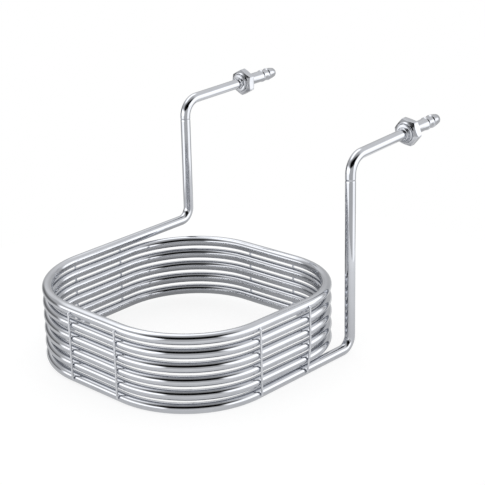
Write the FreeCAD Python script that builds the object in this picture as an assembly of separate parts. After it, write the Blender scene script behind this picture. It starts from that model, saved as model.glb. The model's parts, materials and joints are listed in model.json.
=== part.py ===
import FreeCAD, Part
import math
import os

# Immersion wort chiller, in millimetres.
#
# One stainless tube is wound into five and a half square turns with wide round corners. Its upper
# end climbs a riser at the back left, its lower end another at the back right. Each riser bends
# into an arm that reaches backwards, over the rim of a kettle, and ends in a union: a threaded
# collar brazed to the tube, a flat gasket, a hose nipple with two barbs, and a hexagonal nut that
# pulls the nipple against the collar. Eight upright wires, welded on outside, space the turns.
#
# +Z is up and the arms reach towards +Y. The origin is the middle of the base of the part's box.
# Pairs of values belong to the left and the right line, in that order.

Vector = FreeCAD.Vector

# Tube. It stands on its lowest run, which is cut flat there.
tube_diameter = 10.0
tube_wall = 1.0
flat_depth = 1.0

# Tube and wires are swept with a section of so many flat sides.
tube_sides = 6
wire_sides = 6

# Coil. Its side and corner radius are those of the tube's centre line, and the gap is the clear
# space between one turn and the next.
coil_side = 232.0
corner_radius = 82.5
corner_count = 22
turn_gap = 3.1

# Risers and arms. A riser stands so far behind the back run's line. Arm heights count from the
# lowest run's line, and lengths along an arm from the point where it meets its riser's line.
lead_in_rise = 2.6
riser_offset = (4.0, -18.5)
base_bend_radius = 12.0
top_bend_radius = 17.0
arm_height = (195.8, 186.0)
arm_length = 80.6
arm_rise_degrees = (1.5, 2.75)
arm_swing_degrees = (0.5, 1.1)

# Spacer wires: how far each one stands inside the end of its side's straight stretch. The sides
# follow the winding: front, right, back, left. One wire is bent at its foot.
wire_diameter = 2.0
wire_weld_gap = 0.05
wire_insets = ((5.5, 2.5), (0.5, 0.5), (8.5, 1.5), (6.5, 1.5))
bent_wire = 4
bent_foot_length = 22.0
bent_foot_shift = 4.5
bent_foot_radius = 100.0

# Threaded collar on the tube's end. Its thread is left as a plain cylinder.
collar_diameter = 17.8
collar_behind_nut = 2.2
collar_in_nut = 4.3
socket_clearance = 0.05

# Gasket and hose nipple
seat_clearance = 0.05
gasket_diameter = 17.0
gasket_hole = 8.6
gasket_thickness = 1.3
flange_diameter = 17.6
flange_thickness = 1.6
nipple_bore = 7.0
stem_diameter = 11.5
stem_length = 25.5
barb_count = 2
barb_diameter = 12.8
barb_land = 1.2
barb_slope = 5.9
barb_spacing = 8.5
valley_diameter = 11.2
nose_length = 10.4
tip_diameter = 9.4

# Union nut. Its lip passes over the barbs. Its corners are turned off on the tube's side.
nut_across_flats = 24.0
nut_corner_degrees = (30.0, 50.0)
thread_clearance = 0.1
lip_thickness = 2.0
lip_clearance = 0.2
face_diameter = 22.6
corner_chamfer = 3.0

# Places worked out from the sizes above. Stations count along an arm.
half_side = coil_side / 2
tube_radius = tube_diameter / 2
corner_fall = (tube_diameter + turn_gap) / 4
riser_y = [half_side + offset for offset in riser_offset]
nut_start = arm_length + collar_behind_nut
collar_face = nut_start + collar_in_nut
gasket_start = collar_face + seat_clearance
flange_start = gasket_start + gasket_thickness
flange_end = flange_start + flange_thickness
lip_start = flange_end + seat_clearance
nut_end = lip_start + lip_thickness
barb_start = flange_end + stem_length
nose_start = barb_start + (barb_count - 1) * barb_spacing + barb_land
tip = nose_start + nose_length


def arm_frame(line):
    """Where an arm lies: its +Y runs outwards along the arm from the riser's line."""
    x = (-half_side, half_side)[line]
    turn = FreeCAD.Rotation(arm_swing_degrees[line], 0, arm_rise_degrees[line])
    return FreeCAD.Placement(Vector(x, riser_y[line], arm_height[line]), turn)


def along_arm(line, station):
    return arm_frame(line).multVec(Vector(0, station, 0))


def coil_corners():
    """Corners of the square that the tube is bent round, each a quarter pitch below the last."""
    low, high = -half_side, half_side
    square = [(low, low), (high, low), (high, high), (low, high)]
    last = corner_count - 1
    return [Vector(*square[k % 4], (last - k) * corner_fall) for k in range(corner_count)]


def tube_route():
    """Points of the tube's centre line and the bend radius at each inner point."""
    corners = coil_corners()
    foot_in = Vector(-half_side, riser_y[0], corners[0].z + lead_in_rise)
    foot_out = Vector(half_side, riser_y[1], corners[-1].z)
    points = [along_arm(0, collar_face), along_arm(0, 0), foot_in]
    points += corners
    points += [foot_out, along_arm(1, 0), along_arm(1, collar_face)]
    radii = [top_bend_radius, base_bend_radius]
    radii += [corner_radius] * corner_count
    radii += [base_bend_radius, top_bend_radius]
    return points, radii


def bent_line(points, radii):
    """A wire of straight runs joined by tangent arcs."""
    edges = []
    start = points[0]
    for before, corner, after, radius in zip(points, points[1:], points[2:], radii):
        back = (before - corner).normalize()
        ahead = (after - corner).normalize()
        half_angle = back.getAngle(ahead) / 2
        reach = radius / math.tan(half_angle)
        middle = (back + ahead).normalize()
        centre = corner + middle * (radius / math.sin(half_angle))
        arc = Part.Arc(corner + back * reach, centre - middle * radius, corner + ahead * reach)
        edges.append(Part.LineSegment(start, corner + back * reach).toShape())
        edges.append(arc.toShape())
        start = corner + ahead * reach
    edges.append(Part.LineSegment(start, points[-1]).toShape())
    return Part.Wire(edges)


def many_sided(centre, direction, diameter, sides):
    """A regular polygon in a circle of the diameter, square to the direction."""
    across = Vector(direction.y, -direction.x, 0)
    if across.Length < direction.Length / 2:
        across = Vector(1, 0, 0)
    across.normalize()
    upward = across.cross(direction).normalize()
    corners = []
    for k in range(sides):
        angle = 2 * math.pi * (k + 0.5) / sides
        spoke = across * math.cos(angle) + upward * math.sin(angle)
        corners.append(centre + spoke * (diameter / 2))
    return Part.makePolygon(corners + corners[:1])


def swept(points, radii, diameter, sides):
    section = many_sided(points[0], points[1] - points[0], diameter, sides)
    return bent_line(points, radii).makePipeShell([section], True, False)


def turned(outline):
    """A solid turned round an arm's axis from (station, radius) points."""
    corners = [Vector(0, station, radius) for station, radius in outline]
    face = Part.Face(Part.makePolygon(corners + corners[:1]))
    return face.revolve(Vector(0, 0, 0), Vector(0, 1, 0), 360)


def coil_tube(points, radii):
    """The whole tube, flat under its lowest run and bored in its arms as far as the bends."""
    tube = swept(points, radii, tube_diameter, tube_sides)
    margin = tube_diameter
    under = Part.makeBox(coil_side + 2 * margin, coil_side + 2 * margin, flat_depth + margin)
    under.translate(Vector(-half_side - margin, -half_side - margin, -tube_radius - margin))
    tube = tube.cut(under)
    bore_start = Vector(0, top_bend_radius, 0)
    bore_length = collar_face - top_bend_radius
    for line in (0, 1):
        bore = Part.makeCylinder(tube_radius - tube_wall, bore_length, bore_start, Vector(0, 1, 0))
        bore.Placement = arm_frame(line)
        tube = tube.cut(bore)
    return tube


def heights_beside(place, points):
    """Heights of the tube's runs that pass through the place, seen from above."""
    nearly = 0.01
    heights = []
    for start, end in zip(points, points[1:]):
        run = end - start
        level = Vector(run.x, run.y, 0)
        if level.Length < tube_diameter:
            continue
        share = (place - start).dot(level) / level.dot(level)
        beside = start + run * share
        if 0 <= share <= 1 and math.hypot(beside.x - place.x, beside.y - place.y) < nearly:
            heights.append(beside.z)
    return heights


def spacer_wires(points):
    """Upright wires on the outside of the coil, each from its highest run to its lowest."""
    outwards = [Vector(0, -1, 0), Vector(1, 0, 0), Vector(0, 1, 0), Vector(-1, 0, 0)]
    stand_off = tube_radius + wire_weld_gap + wire_diameter / 2
    straight = half_side - corner_radius
    wires = []
    for outward, insets in zip(outwards, wire_insets):
        onwards = Vector(0, 0, 1).cross(outward)
        for offset in (insets[0] - straight, straight - insets[1]):
            seat = outward * half_side + onwards * offset
            heights = heights_beside(seat, points)
            top = seat + outward * stand_off + Vector(0, 0, max(heights))
            foot = seat + outward * stand_off + Vector(0, 0, min(heights))
            places, bends = [top, foot], []
            if len(wires) + 1 == bent_wire:
                bend = foot + Vector(0, 0, bent_foot_length)
                places, bends = [top, bend, foot - onwards * bent_foot_shift], [bent_foot_radius]
            wires.append(swept(places, bends, wire_diameter, wire_sides))
    return wires


def threaded_collar():
    """Ring brazed on the tube's end, both faced off level, with the union's thread outside."""
    return turned([
        (arm_length, tube_radius + socket_clearance),
        (arm_length, collar_diameter / 2),
        (collar_face, collar_diameter / 2),
        (collar_face, tube_radius + socket_clearance),
    ])


def gasket():
    return turned([
        (gasket_start, gasket_hole / 2),
        (gasket_start, gasket_diameter / 2),
        (flange_start, gasket_diameter / 2),
        (flange_start, gasket_hole / 2),
    ])


def hose_nipple():
    """Flange, plain stem and barbs that are steep towards the nut. The last barb ends the nose."""
    outline = [
        (flange_start, nipple_bore / 2),
        (flange_start, flange_diameter / 2),
        (flange_end, flange_diameter / 2),
        (flange_end, stem_diameter / 2),
        (barb_start, stem_diameter / 2),
    ]
    for k in range(barb_count):
        station = barb_start + k * barb_spacing
        outline.append((station, barb_diameter / 2))
        outline.append((station + barb_land, barb_diameter / 2))
        if k < barb_count - 1:
            outline.append((station + barb_land + barb_slope, valley_diameter / 2))
            outline.append((station + barb_spacing, valley_diameter / 2))
    outline.append((tip, tip_diameter / 2))
    outline.append((tip, nipple_bore / 2))
    return turned(outline)


def union_nut(corner_degrees):
    """Hexagonal nut: a turned blank with its bore, lip and chamfer, cut to six flats."""
    corner = nut_across_flats / math.sqrt(3)
    blank = corner + corner_chamfer
    face = face_diameter / 2
    chamfer_end = nut_start + corner_chamfer * (blank - face) / (corner - face)
    bore = collar_diameter / 2 + thread_clearance
    lip = barb_diameter / 2 + lip_clearance
    nut = turned([
        (nut_start, bore),
        (nut_start, face),
        (chamfer_end, blank),
        (nut_end, blank),
        (nut_end, lip),
        (lip_start, lip),
        (lip_start, bore),
    ])
    corners = []
    for k in range(6):
        angle = math.radians(corner_degrees + 60 * k)
        corners.append(Vector(corner * math.cos(angle), nut_start, corner * math.sin(angle)))
    hexagon = Part.Face(Part.makePolygon(corners + corners[:1]))
    return nut.common(hexagon.extrude(Vector(0, nut_end - nut_start, 0)))


def least_gap(points, radii):
    """Least gap of the tube to itself, between places more than a quarter turn apart."""
    line = bent_line(points, radii)
    step = 2.0
    places = line.discretize(Distance=step)
    apart = int(corner_radius * math.pi / 2 / step)
    least = coil_side
    for k, place in enumerate(places):
        for other in places[k + apart:]:
            if abs(other.z - place.z) < least:
                least = min(least, place.distanceToPoint(other))
    return least - tube_diameter


def place_in_part_frame(shape):
    """Moves the coil's own frame, centred on its lowest centre line, to the part's origin."""
    front = -half_side - tube_radius - wire_weld_gap - wire_diameter
    back = along_arm(0, tip).y
    placed = shape.copy()
    placed.translate(Vector(0, -(front + back) / 2, tube_radius - flat_depth))
    return placed


def build():
    points, radii = tube_route()
    parts = {"coil_tube": coil_tube(points, radii)}
    for number, wire in enumerate(spacer_wires(points), 1):
        parts[f"spacer_wire_{number}"] = wire
    for line in (0, 1):
        fittings = {
            "threaded_collar": threaded_collar(),
            "gasket": gasket(),
            "hose_nipple": hose_nipple(),
            "union_nut": union_nut(nut_corner_degrees[line]),
        }
        for name, shape in fittings.items():
            shape.Placement = arm_frame(line)
            parts[f"{name}_{line + 1}"] = shape
    return {name: place_in_part_frame(shape) for name, shape in parts.items()}


os.makedirs("parts", exist_ok=True)
route_points, route_radii = tube_route()
route_length = bent_line(route_points, route_radii).Length
section_area = Part.Face(many_sided(Vector(), Vector(0, 1, 0), tube_diameter, tube_sides)).Area
tube_volume = swept(route_points, route_radii, tube_diameter, tube_sides).Volume
print(f"tube length {route_length:.1f}, least gap to itself {least_gap(route_points, route_radii):.2f}")
print(f"swept volume over section times length {tube_volume / (section_area * route_length):.6f}")
for node, solid in build().items():
    solid.exportStep(f"parts/{node}.step")
    print(f"{node}: {len(solid.Solids)} solid, {solid.Volume:.0f} cubic mm, valid {solid.isValid()}")
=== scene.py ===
# %% [markdown]
# An immersion wort chiller is one long steel tube, wound into a coil that sinks into a kettle of hot
# wort. Cold water runs through it. Two risers carry the tube's ends up and over the kettle's rim, to
# unions with hose barbs. The construction is already there as a frame of plain solids at their real
# size. This script gives it its looks: a round tube, turned and threaded fittings, polished steel.

# %% Load the frame
import json
import math

import bpy
from mathutils import Matrix, Vector, noise
from mathutils.kdtree import KDTree


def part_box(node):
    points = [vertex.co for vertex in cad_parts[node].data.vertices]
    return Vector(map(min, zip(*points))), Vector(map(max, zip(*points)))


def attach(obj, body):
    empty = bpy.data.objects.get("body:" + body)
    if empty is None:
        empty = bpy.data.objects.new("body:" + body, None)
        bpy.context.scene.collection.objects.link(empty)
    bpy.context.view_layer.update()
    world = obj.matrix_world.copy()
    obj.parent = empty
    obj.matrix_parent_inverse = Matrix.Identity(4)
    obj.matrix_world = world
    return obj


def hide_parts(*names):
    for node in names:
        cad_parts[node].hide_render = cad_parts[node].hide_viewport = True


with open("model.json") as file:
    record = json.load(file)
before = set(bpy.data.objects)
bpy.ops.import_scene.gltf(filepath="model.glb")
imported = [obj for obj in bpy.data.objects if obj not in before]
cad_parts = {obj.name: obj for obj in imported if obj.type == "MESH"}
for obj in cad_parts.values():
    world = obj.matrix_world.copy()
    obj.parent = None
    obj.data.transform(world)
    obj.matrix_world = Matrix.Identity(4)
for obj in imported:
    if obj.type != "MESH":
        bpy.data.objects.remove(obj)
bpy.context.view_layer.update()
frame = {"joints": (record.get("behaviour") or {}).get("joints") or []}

# %% [markdown]
# A smooth copy of the tube needs the same route as the plain one. The route is a list of corners with
# a bend radius at each. The coil's corners come from a loop, because each lies a quarter of the pitch
# below the last. Lengths are in metres, and pairs of values belong to the left and the right line.

# %% Sizes of the tube and its route
tube_diameter = 0.010
tube_wall = 0.001
flat_depth = 0.001
coil_side = 0.232
corner_radius = 0.0825
corner_count = 22
turn_gap = 0.0031
lead_in_rise = 0.0026
riser_offset = (0.0040, -0.0185)
base_bend_radius = 0.012
top_bend_radius = 0.017
arm_height = (0.1958, 0.1860)
arm_length = 0.0806
collar_behind_nut = 0.0022
collar_in_nut = 0.0043

half_side = coil_side / 2
tube_radius = tube_diameter / 2
corner_fall = (tube_diameter + turn_gap) / 4
nut_start = arm_length + collar_behind_nut
collar_face = nut_start + collar_in_nut
print("pitch of the turns", round(4 * corner_fall, 5))

# %% [markdown]
# The coil's centre isn't at the frame's origin, which is the middle of the whole box. The first front
# wire and the first back wire stand equally far from it, so the middle between them gives it. Each
# arm starts where it meets its riser's line, and its direction is that of the nipple's travel.

# %% The coil's centre and the arms' lines
def middle(node):
    low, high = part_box(node)
    return (low + high) / 2


coil_centre = Vector((
    0,
    (middle("spacer_wire_1").y + middle("spacer_wire_5").y) / 2,
    tube_radius - flat_depth,
))
arm_directions = [Vector(joint["axis"]) for joint in frame["joints"] if joint["type"] == "slide"]
arm_starts = [
    coil_centre + Vector((side * half_side, half_side + offset, height))
    for side, offset, height in zip((-1, 1), riser_offset, arm_height)
]


def along_arm(line, station):
    """A point so far along an arm, counted from its riser's line."""
    return arm_starts[line] + arm_directions[line] * station


print("coil centre", [round(v, 5) for v in coil_centre])

# %% Corners of the tube's route
def coil_corners():
    """Corners of the square that the tube is bent round, from the top to the bottom."""
    square = [(-1, -1), (1, -1), (1, 1), (-1, 1)]
    corners = []
    for k in range(corner_count):
        x, y = square[k % 4]
        height = (corner_count - 1 - k) * corner_fall
        corners.append(coil_centre + Vector((x * half_side, y * half_side, height)))
    return corners


def tube_route():
    """All corners from one end of the tube to the other, and the bend radius at each inner one."""
    corners = coil_corners()
    foot_in = Vector((-half_side, arm_starts[0].y, corners[0].z + lead_in_rise))
    foot_out = Vector((half_side, arm_starts[1].y, corners[-1].z))
    points = [along_arm(0, collar_face), along_arm(0, 0), foot_in]
    points += corners
    points += [foot_out, along_arm(1, 0), along_arm(1, collar_face)]
    tight = [top_bend_radius, base_bend_radius]
    return points, tight + [corner_radius] * corner_count + tight[::-1]


route_points, route_radii = tube_route()
print("corners in the route", len(route_points))

# %% [markdown]
# A bent tube is straight runs joined by arcs that touch both. Blender's curves could draw it, but a
# mesh made here decides where its rings stand: close together in a bend, further apart on a run. An
# arc's centre lies on the line that halves the angle between its two runs.

# %% Places along straight runs and tangent arcs
def bend(before, corner, after, radius, steps):
    """Points on the arc that rounds a corner, in two dimensions or three."""
    back = (before - corner).normalized()
    ahead = (after - corner).normalized()
    half_angle = back.angle(ahead) / 2
    reach = radius / math.tan(half_angle)
    centre = corner + (back + ahead).normalized() * (radius / math.sin(half_angle))
    first = corner + back * reach - centre
    last = corner + ahead * reach - centre
    return [centre + first.slerp(last, k / steps).normalized() * radius for k in range(steps + 1)]


def straight_run(start, end, step):
    """Points from the start, evenly spaced and without the end."""
    count = max(1, round((end - start).length / step))
    return [start.lerp(end, k / count) for k in range(count)]


def bent_line(points, radii, run_step, turn_step):
    """Places along a bent line. A wide bend takes finer turns than a tight one."""
    places = []
    start = points[0]
    for before, corner, after, radius in zip(points, points[1:], points[2:], radii):
        turn = (corner - before).angle(after - corner)
        steps = math.ceil(turn * math.sqrt(radius / corner_radius) / turn_step)
        arc = bend(before, corner, after, radius, steps)
        places += straight_run(start, arc[0], run_step) + arc[:-1]
        start = arc[-1]
    return places + straight_run(start, points[-1], run_step) + [points[-1]]


plain_places = bent_line(route_points, route_radii, run_step=0.0025, turn_step=math.radians(3))
print("places along the tube", len(plain_places))

# %% [markdown]
# A tube bender grips the tube beyond the bend, and its clamp leaves a shallow dip all round. Both
# risers show one below their top bend. Bump in the steel could draw it, but the tube's outline would
# stay straight, so the dip is in the mesh. It needs rings that stand close together.

# %% The bender's marks
mark_distance = (0.0188, 0.0212)
mark_depth = 0.0002
mark_reach = 0.0016
mark_steps = 6
marks = [arm_starts[line] - Vector((0, 0, distance)) for line, distance in enumerate(mark_distance)]


def from_mark(place):
    """The distance to the nearest mark."""
    return min((place - mark).length for mark in marks)


def finer_at_marks(places):
    """The same places, with close ones across each mark."""
    finer = []
    for start, end in zip(places, places[1:]):
        near = from_mark((start + end) / 2) < 2 * mark_reach
        finer += straight_run(start, end, mark_reach / mark_steps if near else (end - start).length)
    return finer + places[-1:]


def marked_radius(place):
    """The tube's radius, less the dip at a mark."""
    share = min(1.0, from_mark(place) / mark_reach)
    return tube_radius - mark_depth * (1 - share ** 2) ** 2


tube_places = finer_at_marks(plain_places)
print("rings along the tube", len(tube_places))

# %% [markdown]
# The tube's section is carried from ring to ring without twisting: each step turns it only as much as
# the line turns. Every ring also stores where its points would be if the tube were pulled straight.
# The steel's drawn lines are made in these straightened places later, so they follow each bend.

# %% Sweep a ring along a line
def carried_frames(places):
    """At each place, the two directions square to the line, carried along without twist."""
    ways = [(b - a).normalized() for a, b in zip(places, places[1:])]
    tangents = [ways[0]] + [(a + b).normalized() for a, b in zip(ways, ways[1:])] + [ways[-1]]
    side = tangents[0].orthogonal()
    before = tangents[0]
    frames = []
    for tangent in tangents:
        side = before.rotation_difference(tangent) @ side
        side = (side - tangent * side.dot(tangent)).normalized()
        frames.append((side, tangent.cross(side)))
        before = tangent
    return frames


def lengths_along(places):
    total = 0.0
    lengths = [total]
    for a, b in zip(places, places[1:]):
        total += (b - a).length
        lengths.append(total)
    return lengths


def even_angles(count):
    return [2 * math.pi * k / count for k in range(count)]


def on_circle(radius, angle, height=0.0):
    return Vector((radius * math.cos(angle), radius * math.sin(angle), height))


def swept_rings(places, radii, sides):
    """Rings round a line and, for each, the same ring on a straightened line."""
    angles = even_angles(sides)
    rings, straight_rings = [], []
    stations = zip(places, carried_frames(places), radii, lengths_along(places))
    for place, (side, up), radius, length in stations:
        rings.append([place + side * (radius * math.cos(a)) + up * (radius * math.sin(a)) for a in angles])
        straight_rings.append([on_circle(radius, a, length) for a in angles])
    return rings, straight_rings


tube_length = lengths_along(tube_places)[-1]
print("tube length", round(tube_length, 4))

# %% Join rings into a mesh
sharp_edge = math.radians(38)


def ring_faces(start, rows, around, looped):
    """Quads between rings of points. The ends get caps, or the last ring joins the first."""
    faces = []
    for k in range(rows if looped else rows - 1):
        this = start + k * around
        following = start + (k + 1) % rows * around
        for i in range(around):
            j = (i + 1) % around
            faces.append((this + i, this + j, following + j, following + i))
    if not looped:
        last = start + (rows - 1) * around
        faces.append(tuple(range(start + around - 1, start - 1, -1)))
        faces.append(tuple(range(last, last + around)))
    return faces


def put_in_scene(name, data):
    """An object made from a mesh or a camera."""
    made = bpy.data.objects.new(name, data)
    bpy.context.scene.collection.objects.link(made)
    return made


def steel_mesh(name, islands, looped=False):
    """One smooth mesh from islands, each a pair: its rings and its straightened rings."""
    points, straight_points, faces = [], [], []
    for rings, straight_rings in islands:
        faces += ring_faces(len(points), len(rings), len(rings[0]), looped)
        points += [point for ring in rings for point in ring]
        straight_points += [point for ring in straight_rings for point in ring]
    mesh = bpy.data.meshes.new(name)
    mesh.from_pydata(points, [], faces)
    mesh.shade_smooth()
    mesh.set_sharp_from_angle(angle=sharp_edge)
    layer = mesh.attributes.new("straightened", "FLOAT_VECTOR", "POINT")
    layer.data.foreach_set("vector", [value for point in straight_points for value in point])
    return put_in_scene(name, mesh)


def stands_for(piece, node, body):
    """Says which solid a new piece replaces and what it moves with."""
    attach(piece, body)
    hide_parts(node)
    return piece


print("faces of a six-sided rod", len(ring_faces(0, 2, 6, looped=False)))

# %% [markdown]
# The chiller's tube is bored in its arms. So the rings begin inside one bore, come out over the end
# face, run the whole length outside and go back into the other bore. The lowest points are lifted to
# the floor, which gives the flat that the tube stands on.

# %% The chiller's tube
tube_sides = 32
end_edge = 0.0002
bore_radius = tube_radius - tube_wall


def bore_rings(line, end_ring):
    """The end ring's copies inside the bore, at the face and where the top bend begins."""
    face = along_arm(line, collar_face)
    share = bore_radius / (tube_radius - end_edge)
    at_face = [face + (point - face) * share for point in end_ring]
    inwards = along_arm(line, top_bend_radius) - face
    return [at_face, [point + inwards for point in at_face]]


outer_radii = [marked_radius(place) for place in tube_places]
outer_radii[0] = outer_radii[-1] = tube_radius - end_edge
outer_rings, outer_straight = swept_rings(tube_places, outer_radii, tube_sides)
tube_rings = bore_rings(0, outer_rings[0])[::-1] + outer_rings + bore_rings(1, outer_rings[-1])
tube_straight = outer_straight[:1] * 2 + outer_straight + outer_straight[-1:] * 2
for ring in tube_rings:
    for point in ring:
        point.z = max(point.z, 0.0)
bright_tube = steel_mesh("bright_tube", [(tube_rings, tube_straight)])
stands_for(bright_tube, "coil_tube", "root")
print("tube faces", len(bright_tube.data.polygons))

# %% [markdown]
# An exported model bakes its colours on a flat map of the surface. A tube five metres long would make
# one hair-thin strip, so it is cut into a dozen shorter strips, laid side by side. The last row of the
# map holds the two bores.

# %% Lay the tube's map out in strips
strip_count = 12
map_rows = strip_count + 1
strip_fill = 0.94
bore_cells = 6


def lay_out_strips(piece, lengths, sides):
    """Writes the map: along a strip for the length, across it for the way round."""
    layer = piece.data.uv_layers.new(name="OFBake")
    strip_length = lengths[-1] / strip_count
    row_count = len(lengths) + 3
    ring_lengths = [None, None] + lengths + [None, None]
    for index, polygon in enumerate(piece.data.polygons):
        row, i = divmod(index, sides)
        if row >= row_count:
            break
        # in the bores' row, the first bore takes cells 0 and 1 and the second takes 3 and 4
        cell = row if row < 2 else row - row_count + bore_cells - 1
        for loop, (along, across) in zip(polygon.loop_indices, ((0, 0), (0, 1), (1, 1), (1, 0))):
            first, this = ring_lengths[row], ring_lengths[row + along]
            v = (i + across) / sides * strip_fill
            if first is None or this is None:
                u, strip = (cell + along) / bore_cells, strip_count
            else:
                strip = min(int(first / strip_length), strip_count - 1)
                u = (this - strip * strip_length) / strip_length * strip_fill
            layer.data[loop].uv = (u, (strip + v) / map_rows)


lay_out_strips(bright_tube, lengths_along(tube_places), tube_sides)
print("strips of", round(tube_length / strip_count, 3), "metres")

# %% [markdown]
# Eight upright wires keep the turns apart. Each is a plain 2 mm rod, spot-welded where it crosses the
# tube. A weld squeezes a little metal out on both sides, so a small lumpy bead sits at each crossing.
# The foot of the fourth wire is bent. Its sheared ends have slightly rounded edges.

# %% Where the wires cross the tube
wire_diameter = 0.002
wire_weld_gap = 0.00005
wire_insets = ((0.0055, 0.0025), (0.0005, 0.0005), (0.0085, 0.0015), (0.0065, 0.0015))
bent_wire = 4
bent_foot_length = 0.022
bent_foot_shift = 0.0045
bent_foot_radius = 0.100
wire_radius = wire_diameter / 2
stand_off = tube_radius + wire_weld_gap + wire_radius


def crossings(seat):
    """Points of the tube's centre line that lie above or below a place."""
    found = []
    nearly = 0.00001
    for start, end in zip(route_points, route_points[1:]):
        run = (end - start).to_2d()
        if run.length > tube_diameter:
            share = (seat - start).to_2d().dot(run) / run.length_squared
            point = start.lerp(end, share)
            if 0 <= share <= 1 and (point - seat).to_2d().length < nearly:
                found.append(point)
    return sorted(found, key=lambda point: -point.z)


def wire_seats():
    """For each wire: the way outwards, the way onwards round the coil, and its crossings."""
    seats = []
    straight = half_side - corner_radius
    for side, insets in enumerate(wire_insets):
        outward = Matrix.Rotation(side * math.pi / 2, 3, "Z") @ Vector((0, -1, 0))
        onward = Vector((0, 0, 1)).cross(outward)
        for offset in (insets[0] - straight, straight - insets[1]):
            seats.append((outward, onward, crossings(coil_centre + outward * half_side + onward * offset)))
    return seats


seats = wire_seats()
print("crossings of each wire", [len(found) for _, _, found in seats])

# %% Rods and weld beads
rod_sides = 16
rod_edge = 0.0003
edge_share = 0.3
rod_run_step = 0.0015
rod_turn_step = math.radians(2)
bead_size = (0.0006, 0.0014, 0.0008)
bead_lift = 0.0002
bead_rows, bead_sides = 7, 12
bead_lumps = 0.18
lump_fineness = 1.7
bead_variety = 900


def rod_island(points, radii):
    """A round rod. Three close rings round the edge at each end."""
    places = bent_line(points, radii, run_step=rod_run_step, turn_step=rod_turn_step)
    from_top, from_foot = (places[1] - places[0]).normalized(), (places[-2] - places[-1]).normalized()
    reaches = [0, edge_share * rod_edge, rod_edge]
    head = [places[0] + from_top * reach for reach in reaches]
    tail = [places[-1] + from_foot * reach for reach in reversed(reaches)]
    edge_radii = [wire_radius - rod_edge, wire_radius - edge_share * rod_edge]
    rod_radii = edge_radii + [wire_radius] * len(places) + edge_radii[::-1]
    return swept_rings(head + places[1:-1] + tail, rod_radii, rod_sides)


def bead_island(centre, outward, onward):
    """A lumpy flattened ball of squeezed-out metal."""
    out, along, up = bead_size
    rings, straight_rings = [], []
    for row in range(bead_rows):
        latitude = math.pi * ((row + 0.5) / bead_rows - 0.5)
        girth, height = math.cos(latitude), math.sin(latitude)
        ring = []
        for angle in even_angles(bead_sides):
            ball = on_circle(girth, angle, height)
            lump = 1 + bead_lumps * noise.noise(ball * lump_fineness + centre * bead_variety)
            offset = onward * (ball.x * along) - outward * (ball.y * out) + Vector((0, 0, ball.z * up))
            ring.append(centre + offset * lump)
        rings.append(ring)
        straight_rings.append([point - centre for point in ring])
    return rings, straight_rings


print("points of a bead", bead_rows * bead_sides)

# %% The eight spacer wires
fine_run_step = 0.0004
fine_turn_step = math.radians(0.2)


def wire_line(number, outward, onward, found):
    """A wire's corners, its bend radii and the places on the tube that it is welded to."""
    top, foot = found[0] + outward * stand_off, found[-1] + outward * stand_off
    corners, radii = [top, foot], []
    if number == bent_wire:
        corners = [top, foot + Vector((0, 0, bent_foot_length)), foot - onward * bent_foot_shift]
        radii = [bent_foot_radius]
    line = bent_line(corners, radii, run_step=fine_run_step, turn_step=fine_turn_step)
    nearest = [min(line, key=lambda place: abs(place.z - point.z)) for point in found]
    return corners, radii, [place - outward * (stand_off - tube_radius) for place in nearest]


def spacer_wire(number, seat, line):
    """A wire and its beads, as one piece."""
    outward, onward, _ = seat
    corners, radii, welded = line
    islands = [rod_island(corners, radii)]
    islands += [bead_island(place + outward * bead_lift, outward, onward) for place in welded]
    piece = steel_mesh(f"ladder_wire_{number}", islands)
    return stands_for(piece, f"spacer_wire_{number}", "root")


wire_lines = [wire_line(number, *seat) for number, seat in enumerate(seats, 1)]
ladder_wires = [
    spacer_wire(number, seat, line) for number, (seat, line) in enumerate(zip(seats, wire_lines), 1)
]
print("wires", len(ladder_wires))

# %% [markdown]
# Everything at the arms' ends is turned on a lathe, so each piece is an outline spun round the arm's
# axis. The hexagon and the threads aren't round. For them the outline may change with the angle: a
# function gives one outline per angle, all with equally many points.

# %% Spin an outline round an arm
def rounded(corners, steps=3):
    """A closed outline from (station, radius, edge rounding) corners."""
    places = [Vector((station, radius)) for station, radius, _ in corners]
    outline = []
    for k, (_, _, rounding) in enumerate(corners):
        if rounding:
            outline += bend(places[k - 1], places[k], places[(k + 1) % len(places)], rounding, steps)
        else:
            outline.append(places[k])
    return outline


def spun_piece(name, line, angles, outline_at):
    """A mesh of outlines, one at each angle by the right-hand rule about the outward axis."""
    axis = arm_directions[line]
    sideways = Vector((axis.y, -axis.x, 0)).normalized()
    downward = axis.cross(sideways)
    spokes = [sideways * math.cos(angle) + downward * math.sin(angle) for angle in angles]
    outlines = [outline_at(angle) for angle in angles]
    path = lengths_along(outlines[0])
    rings, straight_rings = [], []
    for row, length in enumerate(path):
        places = [outline[row] for outline in outlines]
        rings.append([along_arm(line, p.x) + spoke * p.y for spoke, p in zip(spokes, places)])
        straight_rings.append([on_circle(p.y, angle, length) for angle, p in zip(angles, places)])
    return steel_mesh(name, [(rings, straight_rings)], looped=True)


print("arc points at a corner", len(rounded([(0, 0, 1), (0, 4, 0), (4, 0, 0)])) - 2)

# %% [markdown]
# A hose nipple has a flange that the nut pulls on, a plain stem for the hose clamp, and two barbs. A
# barb rises steeply on the nut's side and slopes away gently towards the tip, so that a hose slides on
# but not off. All edges of the outline are broken by small arcs, because edges catch the light.

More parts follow.
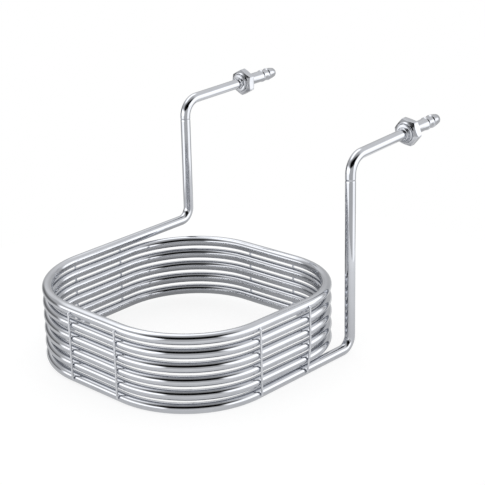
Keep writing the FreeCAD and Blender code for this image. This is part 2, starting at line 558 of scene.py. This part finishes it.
# %% Sizes of a hose nipple
lathe_angles = 64
seat_clearance = 0.00005
gasket_thickness = 0.0013
flange_diameter = 0.0176
flange_thickness = 0.0016
nipple_bore = 0.0070
stem_diameter = 0.0115
stem_length = 0.0255
barb_diameter = 0.0128
barb_rise = 0.0008
barb_land = 0.0012
barb_slope = 0.0059
barb_spacing = 0.0085
valley_diameter = 0.0112
nose_slope = 0.0033
nose_diameter = 0.0098
tip_length = 0.0012
tip_diameter = 0.0082
flange_start = collar_face + seat_clearance + gasket_thickness
flange_end = flange_start + flange_thickness
first_barb = flange_end + stem_length
last_barb = first_barb + barb_spacing
valley_start = first_barb + barb_land + barb_slope
nose_start = last_barb + barb_land + barb_slope
tip_start = nose_start + nose_slope
tip = tip_start + tip_length
print("tip station", round(tip, 5))

# %% Two hose nipples
def nipple_outline(_):
    bore, flange, stem = nipple_bore / 2, flange_diameter / 2, stem_diameter / 2
    barb, valley, nose = barb_diameter / 2, valley_diameter / 2, nose_diameter / 2
    return rounded([
        (flange_start, bore, 0.0003),
        (flange_start, flange, 0.0002),
        (flange_end, flange, 0.0003),
        (flange_end, stem, 0.0003),
        (first_barb, stem, 0.0002),
        (first_barb + barb_rise, barb, 0.00025),
        (first_barb + barb_land, barb, 0.0006),
        (valley_start, valley, 0.0010),
        (last_barb, valley, 0.0002),
        (last_barb + barb_rise, barb, 0.00025),
        (last_barb + barb_land, barb, 0.0006),
        (nose_start, valley, 0.0020),
        (tip_start, nose, 0.0004),
        (tip, tip_diameter / 2, 0.0002),
        (tip, bore, 0.0003),
    ])


barbed_nipples = [
    stands_for(
        spun_piece(f"barbed_nipple_{line + 1}", line, even_angles(lathe_angles), nipple_outline),
        f"hose_nipple_{line + 1}", f"nipple_{line + 1}",
    )
    for line in (0, 1)
]
print("nipple faces", len(barbed_nipples[0].data.polygons))

# %% [markdown]
# A screw thread is a ridge that climbs by one pitch in each turn. On a grid of angles and stations the
# ridge is where the station, less the share of a turn, is a whole number of pitches. The collar has
# the ridge and the nut has the matching groove, so both use one function with different sizes.

# %% The thread as a height that depends on station and angle
thread_pitch = 0.0015
thread_row = 0.000075
thread_angles = 96
flank_slope = math.tan(math.radians(60))
ridge_crest, ridge_root = 0.0089, 0.0081
groove_major, groove_minor = 0.00905, 0.0083
crest_half_width = 0.00010
groove_half_width = 0.00013


def thread_radius(station, angle, half_width, high, low):
    """Radius of a ridge, or of a groove, at a place. Between high and low lie straight flanks."""
    turns = (station - nut_start) / thread_pitch - angle / (2 * math.pi)
    beside = abs(turns - round(turns)) * thread_pitch
    return max(low, high - max(0.0, beside - half_width) * flank_slope)


def thread_stations(start, end):
    count = round((end - start) / thread_row)
    return [start + (end - start) * k / count for k in range(count + 1)]


print("turns of thread in the nut", round(collar_in_nut / thread_pitch, 2))

# %% [markdown]
# The threaded collar is brazed on the tube's end. The filler metal sets as a lumpy ring in the corner
# between the two, so noise changes its size along the ring. The thread fades out towards a plain band
# at the back, and its first ridge is turned down at the front so that the nut starts easily.

# %% Threaded collars
collar_radius = ridge_crest
braze_size = 0.0013
braze_steps = 8
braze_lumps = 0.22
lumps_around, lumps_across = 3.2, 1.6
braze_variety = 9
socket_clearance = 0.00002
band_end = arm_length + 0.0010
fade_length = 0.0009
start_chamfer = 0.0009
collar_edge = 0.0006


def braze_ring(angle, line):
    """The filler metal's outline, from the tube's surface up to the collar's back."""
    ring = []
    for k in range(braze_steps + 1):
        turn = math.pi / 2 * k / braze_steps
        lump = noise.noise(on_circle(lumps_around, angle, lumps_across * turn + braze_variety * line))
        size = braze_size * (1 + braze_lumps * lump)
        radius = tube_radius + socket_clearance + size * math.sin(turn)
        ring.append((arm_length - size * math.cos(turn), radius, 0))
    return ring


def collar_outline_for(line):
    def outline(angle):
        thread = []
        for station in thread_stations(band_end, collar_face):
            fade = min(1.0, (station - band_end) / fade_length)
            floor = collar_radius + (ridge_root - collar_radius) * fade
            chamfer = collar_radius - max(0.0, station - (collar_face - start_chamfer))
            ridge = thread_radius(station, angle, crest_half_width, ridge_crest, ridge_root)
            thread.append((station, min(chamfer, max(floor, ridge)), 0))
        back = [(arm_length, collar_radius, collar_edge)]
        front = [(collar_face, tube_radius + socket_clearance, 0)]
        return rounded(braze_ring(angle, line) + back + thread + front)
    return outline


threaded_ends = [
    stands_for(
        spun_piece(f"threaded_end_{line + 1}", line, even_angles(thread_angles), collar_outline_for(line)),
        f"threaded_collar_{line + 1}", "root",
    )
    for line in (0, 1)
]
print("collar faces", len(threaded_ends[0].data.polygons))

# %% [markdown]
# A union nut is cut from hexagonal bar. At its mouth the lathe leaves a raised face with a steep edge,
# then a cone that turns the corners down. Where the cone meets a flat it leaves the curved edge that
# every nut has. The hexagon's radius is known at each angle, so the station where the cone meets it
# can be worked out exactly. Inside, the thread ends in a wider room for the gasket and the flange.

# %% Sizes of a union nut
nut_across_flats = 0.024
nut_corner_degrees = (-30.0, -50.0)
corner_rounding = 0.0004
lip_thickness = 0.0020
lip_clearance = 0.0002
raised_face_radius = 0.0098
raised_foot_radius = 0.0105
raised_face_height = 0.0012
mouth_cone_length = 0.0020
far_face_radius = 0.0117
far_cone_length = 0.0008
nut_edge = 0.00015
mouth_chamfer = 0.0006
lip_start = flange_end + seat_clearance
nut_end = lip_start + lip_thickness
lip_radius = barb_diameter / 2 + lip_clearance
apothem = nut_across_flats / 2
half_flat = math.radians(30)
corner_reach = (apothem - corner_rounding) / math.cos(half_flat)
print("nut length", round(nut_end - nut_start, 5))

# %% A nut's outline at each angle
def hexagon_radius(from_corner):
    """Distance from the axis to the hexagon, at an angle from its nearest corner."""
    on_flat = apothem / math.cos(half_flat - abs(from_corner))
    rest = corner_rounding ** 2 - (corner_reach * math.sin(from_corner)) ** 2
    if rest <= 0:
        return on_flat
    return min(on_flat, corner_reach * math.cos(from_corner) + math.sqrt(rest))


def nut_outline_for(corner_angle):
    def outline(angle):
        from_corner = (angle - corner_angle + half_flat) % (2 * half_flat) - half_flat
        flat = hexagon_radius(from_corner)
        corner = apothem / math.cos(half_flat)
        foot = nut_start + raised_face_height
        mouth_cone = (flat - raised_foot_radius) / (corner - raised_foot_radius) * mouth_cone_length
        far_cone = (flat - far_face_radius) / (corner - far_face_radius) * far_cone_length
        mouth = groove_major + mouth_chamfer / 2
        thread = [
            (station, thread_radius(station, angle, groove_half_width, groove_major, groove_minor), 0)
            for station in thread_stations(nut_start + mouth_chamfer, collar_face)
        ]
        return rounded([
            (nut_start, raised_face_radius, nut_edge),
            (foot, raised_foot_radius, nut_edge),
            (foot + mouth_cone, flat, nut_edge),
            (nut_end - far_cone, flat, nut_edge),
            (nut_end, far_face_radius, nut_edge),
            (nut_end, lip_radius, nut_edge),
            (lip_start, lip_radius, nut_edge),
            (lip_start, groove_major, 0),
            (collar_face + thread_row, groove_major, 0),
            *thread[::-1],
            (nut_start, mouth, 0),
        ])
    return outline


def hexagon_angles(corner_angle):
    """Angles that crowd together at the corners, where the hexagon turns."""
    fan = (0, 0.5, 1.0, 1.6, 2.5, 5, 10, 15, 20, 25, 30, 35, 40, 45, 50, 55, 57.5, 58.4, 59.0, 59.5)
    return [corner_angle + math.radians(60 * side + degrees) for side in range(6) for degrees in fan]


print("angles round a nut", len(hexagon_angles(0)))

# %% Two union nuts
union_nuts = []
for line, degrees in enumerate(nut_corner_degrees):
    corner_angle = math.radians(degrees)
    angles, outline = hexagon_angles(corner_angle), nut_outline_for(corner_angle)
    nut = spun_piece(f"hexagon_nut_{line + 1}", line, angles, outline)
    union_nuts.append(stands_for(nut, f"union_nut_{line + 1}", f"nut_{line + 1}"))
print("nut faces", len(union_nuts[0].data.polygons))

# %% [markdown]
# Both gaskets keep their solids: a flat ring needs no more shape. The finishes come next. Welding and
# brazing leave faint heat colours beside each joint, and beside each wire weld the same mark is also
# painted shade for the dark reflections there. They depend on how near a point is to a weld, and a mesh
# can store that: each point gets a value from 0 to 1 for the heat colours and the painted shade.

# %% Heat from welds and braze
weld_reach = 0.0027
braze_heat_reach = 0.016
# Nearness to a wire weld sets both the heat colours and the painted shade beside it.
weld_places = [place for _, _, welded in wire_lines for place in welded]
weld_tree = KDTree(len(weld_places))
for index, place in enumerate(weld_places):
    weld_tree.insert(place, index)
weld_tree.balance()


def heat_and_painted_shade_at(point):
    """1 at a weld or a braze, falling to 0 a short way off."""
    _, _, distance = weld_tree.find(point)
    heat = 1 - distance / weld_reach
    for line in (0, 1):
        reach = point - arm_starts[line]
        station = reach.dot(arm_directions[line])
        if reach.cross(arm_directions[line]).length < collar_radius + tube_wall:
            heat = max(heat, 1 - abs(station - arm_length) / braze_heat_reach)
    return max(0.0, heat)


def store_heat_and_painted_shade(piece):
    layer = piece.data.attributes.new("heat", "FLOAT", "POINT")
    layer.data.foreach_set("value", [heat_and_painted_shade_at(vertex.co) for vertex in piece.data.vertices])


for piece in [bright_tube] + ladder_wires + threaded_ends:
    store_heat_and_painted_shade(piece)
print("welds", len(weld_places))

# %% [markdown]
# Materials are easier to read when one small function makes a node, sets its values and links its
# inputs. The kinds of node that come back most get a function of their own. An effect that several
# finishes share becomes a node group: it is built once, then placed in each material with that
# material's own values.

# %% Helpers for nodes
def add_node(tree, kind, sockets=None, **settings):
    """A node with its settings made, and each socket set to a value or linked to another."""
    made = tree.nodes.new(kind)
    for key, value in settings.items():
        setattr(made, key, value)
    for key, value in (sockets or {}).items():
        if isinstance(value, bpy.types.NodeSocket):
            tree.links.new(value, made.inputs[key])
        else:
            made.inputs[key].default_value = value
    return made


def calculate(tree, operation, *values, **settings):
    """The result of a sum, a product and so on. Each value is a number or a socket."""
    sockets = dict(enumerate(values))
    return add_node(tree, "ShaderNodeMath", sockets, operation=operation, **settings).outputs[0]


def remap(tree, value, given, wanted=(0.0, 1.0), **settings):
    """A value carried from one range to another and held at the ends."""
    sockets = {"Value": value, "From Min": given[0], "From Max": given[1]}
    sockets |= {"To Min": wanted[0], "To Max": wanted[1]}
    return add_node(tree, "ShaderNodeMapRange", sockets, **settings).outputs[0]


def noise_at(tree, place, scale, detail, **more):
    """A cloudy noise between 0 and 1."""
    sockets = {"Vector": place, "Scale": scale, "Detail": detail, **more}
    return add_node(tree, "ShaderNodeTexNoise", sockets).outputs["Fac"]


def blend(tree, kind, share, first, second, **settings):
    """Two numbers (FLOAT) or two colours (RGBA), mixed by a share of the second."""
    a, b, result = {"FLOAT": (2, 3, 0), "RGBA": (6, 7, 2)}[kind]
    sockets = {0: share, a: first, b: second}
    return add_node(tree, "ShaderNodeMix", sockets, data_type=kind, **settings).outputs[result]


print("node groups so far", len(bpy.data.node_groups))

# %% Helpers for groups and materials
def place_group(tree, group, sockets):
    """A group put to use in a tree. What comes back are its results."""
    return add_node(tree, "ShaderNodeGroup", sockets, node_tree=group).outputs


def new_group(name, given, results):
    """An empty shader group with named sockets, its input sockets' values and its output sockets."""
    group = bpy.data.node_groups.new(name, "ShaderNodeTree")
    for way, sockets in (("INPUT", given), ("OUTPUT", results)):
        for label, kind in sockets.items():
            group.interface.new_socket(name=label, in_out=way, socket_type=f"NodeSocket{kind}")
    return group, group.nodes.new("NodeGroupInput").outputs, group.nodes.new("NodeGroupOutput").inputs


def new_material(name):
    """A material, its node tree and its main shader's sockets."""
    material = bpy.data.materials.new(name)
    material.use_nodes = True
    return material, material.node_tree, material.node_tree.nodes["Principled BSDF"].inputs


print("materials so far", len(bpy.data.materials))

# %% [markdown]
# Drawn tube and wire show fine lines along their length, and a lathe leaves fine lines round the work.
# Both are one noise, stretched much more one way than the other. It is made in the straightened places
# that the meshes store, where the third direction runs along the tube, or along a turned outline.

# %% Group: streaks
def make_streaks():
    group, given, result = new_group(
        "streaks", {"Place": "Vector", "Across": "Float", "Along": "Float"}, {"Lines": "Float"},
    )
    scale = add_node(
        group, "ShaderNodeCombineXYZ", {"X": given["Across"], "Y": given["Across"], "Z": given["Along"]},
    )
    stretched = add_node(
        group, "ShaderNodeVectorMath", {0: given["Place"], 1: scale.outputs[0]}, operation="MULTIPLY",
    )
    grain = noise_at(group, stretched.outputs[0], 1.0, 4.0, Roughness=0.6)
    group.links.new(grain, result["Lines"])
    return group


streaks = make_streaks()
print("group", streaks.name)

# %% [markdown]
# No polish is even. Buffing leaves cloudy patches that are a little duller, and use leaves thin
# scratches. The clouds are wide noise. The scratches are thin crests of a stretched noise, and the
# clouds let them through only here and there.

# %% Group: worn polish
scratch_slant = (0.5, 0.9, 0.3)
scratch_stretch = (1.0, 0.06, 1.0)


def make_worn_polish():
    group, given, result = new_group(
        "worn polish", {"Place": "Vector", "Cloud Scale": "Float", "Scratch Scale": "Float"},
        {"Clouds": "Float", "Scratches": "Float"},
    )
    clouds = noise_at(group, given["Place"], given["Cloud Scale"], 5.0, Roughness=0.55)
    slanted = add_node(
        group, "ShaderNodeMapping",
        {"Vector": given["Place"], "Rotation": scratch_slant, "Scale": scratch_stretch},
    )
    fibres = noise_at(group, slanted.outputs[0], given["Scratch Scale"], 3.0, Roughness=0.7, Distortion=0.4)
    crests = remap(group, fibres, (0.60, 0.68), interpolation_type="SMOOTHSTEP")
    patches = remap(group, clouds, (0.48, 0.62))
    group.links.new(remap(group, clouds, (0.35, 0.65)), result["Clouds"])
    group.links.new(calculate(group, "MULTIPLY", crests, patches), result["Scratches"])
    return group


worn_polish = make_worn_polish()
print("group", worn_polish.name)

# %% [markdown]
# Heated steel takes on oxide colours: straw first, then brown, and a bluish grey where it was hottest.
# Here that grey is near black, so beside the wires' welds it is painted shade for the dark reflections
# there. The group turns the stored value into such a tint and painted shade, with a noise that makes its
# outline ragged.

# %% Group: heat tint and painted shade
untouched, straw = (1, 1, 1, 1), (0.90, 0.80, 0.66, 1)
# The darkest colour is near black: a bluish oxide, and painted shade for the dark reflections by the wires.
brown, blue_grey_and_painted_shade = (0.46, 0.39, 0.38, 1), (0.16, 0.16, 0.20, 1)


def make_heat_tint_and_painted_shade():
    group, given, result = new_group(
        "heat tint and painted shade", {"Steel": "Color", "Place": "Vector", "Strength": "Float"},
        {"Color": "Color", "Heat And Painted Shade": "Float"},
    )
    stored = add_node(group, "ShaderNodeAttribute", attribute_name="heat").outputs["Fac"]
    ragged = remap(group, noise_at(group, given["Place"], 700.0, 3.0), (0.0, 1.0), (0.55, 1.25))
    heat = calculate(group, "MULTIPLY", stored, ragged)
    colours = add_node(group, "ShaderNodeValToRGB", {"Fac": heat})
    ramp = colours.color_ramp
    ramp.elements[0].color = untouched
    ramp.elements[1].color = blue_grey_and_painted_shade
    for position, colour in ((0.25, untouched), (0.5, straw), (0.75, brown)):
        ramp.elements.new(position).color = colour
    tinted = blend(
        group, "RGBA", given["Strength"], given["Steel"], colours.outputs["Color"], blend_type="MULTIPLY",
    )
    group.links.new(tinted, result["Color"])
    group.links.new(heat, result["Heat And Painted Shade"])
    return group


heat_tint_and_painted_shade = make_heat_tint_and_painted_shade()
print("group", heat_tint_and_painted_shade.name)

# %% [markdown]
# The tube, the wires and the fittings are all stainless steel, but not finished alike. The tube is
# drawn and bright, the wire is a little duller with weld spots, darkened to painted shade beside each
# weld, and the fittings are turned. One function builds all three from the groups. In each, the clouds,
# lines and scratches change both how sharply the steel mirrors and its height.

# %% A steel made from the groups
def steel_finish(name, steel, dullest, roughness, lines, clouds, scratches, heat, depth):
    """A steel whose colour runs between two tones and whose roughness grows from a least value."""
    material, tree, shader = new_material(name)
    shader["Metallic"].default_value = 1
    place = add_node(tree, "ShaderNodeAttribute", attribute_name="straightened").outputs["Vector"]
    grain = place_group(
        tree, streaks, {"Place": place, "Across": lines["across"], "Along": lines["along"]},
    )["Lines"]
    worn = place_group(
        tree, worn_polish,
        {"Place": place, "Cloud Scale": clouds["scale"], "Scratch Scale": scratches["scale"]},
    )
    tone = blend(tree, "RGBA", worn["Clouds"], steel, dullest)
    tint = place_group(tree, heat_tint_and_painted_shade, {"Steel": tone, "Place": place, "Strength": heat["strength"]})
    tree.links.new(tint["Color"], shader["Base Color"])
    level = roughness
    for source, share in (
        (worn["Clouds"], clouds["share"]), (grain, lines["share"]),
        (worn["Scratches"], scratches["share"]), (tint["Heat And Painted Shade"], heat["share"]),
    ):
        level = calculate(tree, "MULTIPLY_ADD", source, share, level)
    tree.links.new(level, shader["Roughness"])
    height = calculate(tree, "MULTIPLY_ADD", worn["Scratches"], -scratches["height"], grain)
    bump = add_node(tree, "ShaderNodeBump", {"Height": height, "Strength": 1.0, "Distance": depth})
    tree.links.new(bump.outputs[0], shader["Normal"])
    return material


print("groups in a steel", streaks.name, worn_polish.name, heat_tint_and_painted_shade.name)

# %% Three steel finishes
# Heat strength also sets the painted shade: near the wires' welds, tube and wire darken almost to black.
tube_finish = steel_finish(
    "bright_drawn_tube", steel=(0.590, 0.604, 0.638, 1), dullest=(0.555, 0.569, 0.602, 1), roughness=0.02,
    lines={"across": 600.0, "along": 7.0, "share": 0.03},
    clouds={"scale": 45.0, "share": 0.03},
    scratches={"scale": 900.0, "share": 0.12, "height": 0.5},
    heat={"strength": 0.7, "share": 0.16}, depth=0.0000015,
)
wire_finish = steel_finish(
    "welded_wire", steel=(0.74, 0.755, 0.79, 1), dullest=(0.64, 0.655, 0.69, 1), roughness=0.14,
    lines={"across": 2600.0, "along": 60.0, "share": 0.10},
    clouds={"scale": 160.0, "share": 0.08},
    scratches={"scale": 1600.0, "share": 0.10, "height": 0.5},
    heat={"strength": 1.0, "share": 0.20}, depth=0.000006,
)
fitting_finish = steel_finish(
    "turned_steel", steel=(0.592, 0.606, 0.640, 1), dullest=(0.540, 0.553, 0.585, 1), roughness=0.04,
    lines={"across": 70.0, "along": 5200.0, "share": 0.08},
    clouds={"scale": 110.0, "share": 0.05},
    scratches={"scale": 1100.0, "share": 0.12, "height": 0.8},
    heat={"strength": 0.3, "share": 0.12}, depth=0.000005,
)
turned_pieces = barbed_nipples + threaded_ends + union_nuts
finished = ((tube_finish, [bright_tube]), (wire_finish, ladder_wires), (fitting_finish, turned_pieces))
for finish, pieces in finished:
    for piece in pieces:
        piece.data.materials.append(finish)
print("finishes", tube_finish.name, wire_finish.name, fitting_finish.name)

# %% [markdown]
# The gaskets are cut from milky silicone sheet. Its surface is matt, with a fine grain from the mould
# and cloudy patches that are a little yellower and duller.

# %% Milky silicone
milky = (0.62, 0.61, 0.57, 1)
yellowed = (0.52, 0.50, 0.45, 1)


def silicone_finish():
    material, tree, shader = new_material("milky_silicone")
    place = add_node(tree, "ShaderNodeTexCoord").outputs["Object"]
    worn = place_group(tree, worn_polish, {"Place": place, "Cloud Scale": 300.0, "Scratch Scale": 2500.0})
    grain = noise_at(tree, place, 5000.0, 3.0)
    bump = add_node(tree, "ShaderNodeBump", {"Height": grain, "Strength": 1.0, "Distance": 0.00002})
    tree.links.new(blend(tree, "RGBA", worn["Clouds"], milky, yellowed), shader["Base Color"])
    tree.links.new(calculate(tree, "MULTIPLY_ADD", worn["Clouds"], 0.18, 0.42), shader["Roughness"])
    tree.links.new(bump.outputs[0], shader["Normal"])
    return material


silicone = silicone_finish()
for node in ("gasket_1", "gasket_2"):
    slots = bpy.data.objects[node].data.materials
    slots.clear()
    slots.append(silicone)
print("gaskets finished with", silicone.name)

# %% [markdown]
# The camera stands where the photographer's did: its angle, distance and slight roll were found by
# fitting the chiller's outlines. It isn't shifted. Instead the whole camera is moved sideways, so that
# the chosen target falls on its place in the picture.

# %% Camera
image_pixels = 485
sensor_width = 36.0
focal_pixels = 1461.2
camera_distance = 1.375
azimuth = 43.081
elevation = 20.369
roll = math.radians(-1.291)
target = Vector((0, coil_centre.y, 0.039))
target_pixel = (188.433, 312.61)


def direction_to(azimuth_degrees, elevation_degrees):
    """The way to a place round the chiller. Azimuth 0 is in front, 90 on the chiller's right."""
    a, e = math.radians(azimuth_degrees), math.radians(elevation_degrees)
    return Vector((math.sin(a) * math.cos(e), -math.cos(a) * math.cos(e), math.sin(e)))


def place_camera():
    back = direction_to(azimuth, elevation)
    level_right = Vector((-back.y, back.x, 0)).normalized()
    level_up = back.cross(level_right)
    right = level_right * math.cos(roll) + level_up * math.sin(roll)
    up = level_up * math.cos(roll) - level_right * math.sin(roll)
    metres_per_pixel = camera_distance / focal_pixels
    aside = (target_pixel[0] - image_pixels / 2) * metres_per_pixel
    below = (target_pixel[1] - image_pixels / 2) * metres_per_pixel
    place = target + back * camera_distance - right * aside + up * below
    camera = put_in_scene("camera", bpy.data.cameras.new("camera"))
    camera.data.sensor_width = sensor_width
    camera.data.lens = focal_pixels * sensor_width / image_pixels
    camera.data.clip_start = 0.05
    camera.data.clip_end = 20.0
    camera.matrix_world = Matrix.Translation(place) @ Matrix((right, up, back)).transposed().to_4x4()
    bpy.context.scene.camera = camera
    return camera


camera = place_camera()
print("camera at", [round(v, 3) for v in camera.location])

# %% [markdown]
# Polished steel has hardly a colour of its own: it shows the studio. A photographer of steel builds a
# white tent, stands bright softboxes round it, and adds black cards that draw dark lines on the steel.
# Real boxes and cards would stand in the way of other views, so here they are drawn in the world. Each
# is a soft-edged rectangle in one direction: where its middle is, how wide and high, and how bright. A
# ray's place on the rectangle is how far it goes sideways and up for each step ahead. A least step
# ahead keeps the rays that go the other way off it.

# %% Group: studio panel
least_ahead = 0.05


def make_studio_panel():
    group, given, result = new_group(
        "studio panel",
        {
            "Direction": "Vector", "Right": "Vector", "Up": "Vector", "Middle": "Vector",
            "Half Width": "Float", "Half Height": "Float", "Soft Edge": "Float",
        },
        {"Panel": "Float"},
    )

    def along(label):
        return add_node(
            group, "ShaderNodeVectorMath", {0: given["Direction"], 1: given[label]}, operation="DOT_PRODUCT",
        ).outputs["Value"]

    ahead = calculate(group, "MAXIMUM", along("Middle"), least_ahead)
    covered = 1.0
    for label, half in (("Right", "Half Width"), ("Up", "Half Height")):
        aside = calculate(group, "ABSOLUTE", calculate(group, "DIVIDE", along(label), ahead))
        inner = calculate(group, "SUBTRACT", given[half], given["Soft Edge"])
        outer = calculate(group, "ADD", given[half], given["Soft Edge"])
        within = remap(group, aside, (inner, outer), (1.0, 0.0), interpolation_type="SMOOTHSTEP")
        covered = calculate(group, "MULTIPLY", covered, within)
    group.links.new(covered, result["Panel"])
    return group


studio_panel = make_studio_panel()
print("group", studio_panel.name)

# %% [markdown]
# The world has two parts. Light that falls on matt surfaces is plain white from everywhere. What the
# camera sees is white too, and polished steel sees that same white with the softboxes and cards in it.

# %% Where the softboxes and cards stand
plain_light = 0.95
tent_level = 0.62
panels = [
    # azimuth, elevation, half width, half height (degrees), soft edge, level
    (-170, 50, 62, 22, 0.30, 0.90),
    (48, 45, 48, 24, 0.28, 0.14),
    (50, 38, 36, 19, 0.08, 0.0),
    (-82, 1, 24, 12, 0.20, 0.18),
    (-98, 62, 31, 18, 0.20, 1.95),
    (-18, -10, 24, 16, 0.14, 1.70),
    (-20, 7, 36, 14, 0.14, 1.95),
    (120, -11, 28, 16, 0.16, 1.60),
    (124, 13, 38, 17, 0.18, 1.85),
]
print("panels", len(panels))

# %% The world
def seen_rays(tree):
    """1 for rays from the camera, and for those that polished metal or glass sends on."""
    rays = add_node(tree, "ShaderNodeLightPath").outputs
    both = calculate(tree, "ADD", rays["Is Camera Ray"], rays["Is Glossy Ray"])
    seen = calculate(tree, "ADD", both, rays["Is Transmission Ray"], use_clamp=True)
    return seen, rays["Is Camera Ray"]


def build_world():
    world = bpy.data.worlds.new("studio")
    world.use_nodes = True
    tree = world.node_tree
    direction = add_node(tree, "ShaderNodeTexCoord").outputs["Generated"]
    level = tent_level
    for azimuth_degrees, elevation_degrees, wide, high, soft, brightness in panels:
        ahead = direction_to(azimuth_degrees, elevation_degrees)
        right = ahead.cross(Vector((0, 0, 1))).normalized()
        up = right.cross(ahead)
        panel = place_group(tree, studio_panel, {
            "Direction": direction, "Right": right, "Up": up, "Middle": ahead, "Soft Edge": soft,
            "Half Width": math.tan(math.radians(wide)), "Half Height": math.tan(math.radians(high)),
        })
        level = blend(tree, "FLOAT", panel["Panel"], level, brightness)
    seen, camera_ray = seen_rays(tree)
    shown = blend(tree, "FLOAT", camera_ray, level, 1.0)
    light = add_node(tree, "ShaderNodeBackground", {"Color": (1, 1, 1, 1), "Strength": plain_light})
    white = add_node(tree, "ShaderNodeBackground", {"Color": shown, "Strength": 1.0})
    both = add_node(tree, "ShaderNodeMixShader", {0: seen, 1: light.outputs[0], 2: white.outputs[0]})
    tree.links.new(both.outputs[0], tree.nodes["World Output"].inputs["Surface"])
    return world


bpy.context.scene.world = build_world()
bpy.context.scene.view_settings.view_transform = "Standard"
print("world", bpy.context.scene.world.name)

# %% [markdown]
# The chiller stands on a round white table. Part of its white is paint that the light falls on, and
# part glows by itself, so the camera sees pure white with a faint soft shadow. For polished steel the
# glow is painted darkest beside the coil, a painted shadow of the chiller, and that shades the tube's
# undersides.

# %% The table
table_radius = 0.36
rim_points = 96
table_paint = 0.26
glow_to_camera = 0.79
# The next four numbers place the painted shadow that steel sees on the table.
painted_shadow_middle = (-0.10, 0.01, 0)
painted_shadow_reach = 0.46
glow_in_painted_shadow = 0.18
glow_lightest = 0.88


def table_white():
    material, tree, shader = new_material("table_white")
    seen, camera_ray = seen_rays(tree)
    place = add_node(tree, "ShaderNodeTexCoord").outputs["Object"]
    # The glow that steel sees is painted darker round a place beside the coil: a painted shadow.
    away = add_node(tree, "ShaderNodeVectorMath", {0: place, 1: painted_shadow_middle}, operation="DISTANCE")
    steel_glow_with_painted_shadow = remap(tree, away.outputs["Value"], (0.0, painted_shadow_reach), (glow_in_painted_shadow, glow_lightest))
    glow_with_painted_shadow = blend(tree, "FLOAT", camera_ray, steel_glow_with_painted_shadow, glow_to_camera)
    shader["Base Color"].default_value = (table_paint, table_paint, table_paint, 1)
    shader["Roughness"].default_value = 1
    shader["Specular IOR Level"].default_value = 0
    shader["Emission Color"].default_value = (1, 1, 1, 1)
    tree.links.new(calculate(tree, "MULTIPLY", seen, glow_with_painted_shadow), shader["Emission Strength"])
    return material


table_mesh = bpy.data.meshes.new("table")
table_rim = [on_circle(table_radius, angle) for angle in even_angles(rim_points)]
table_mesh.from_pydata(table_rim, [], [range(len(table_rim))])
table_mesh.materials.append(table_white())
put_in_scene("table", table_mesh)
print("table", 2 * table_radius, "metres wide")
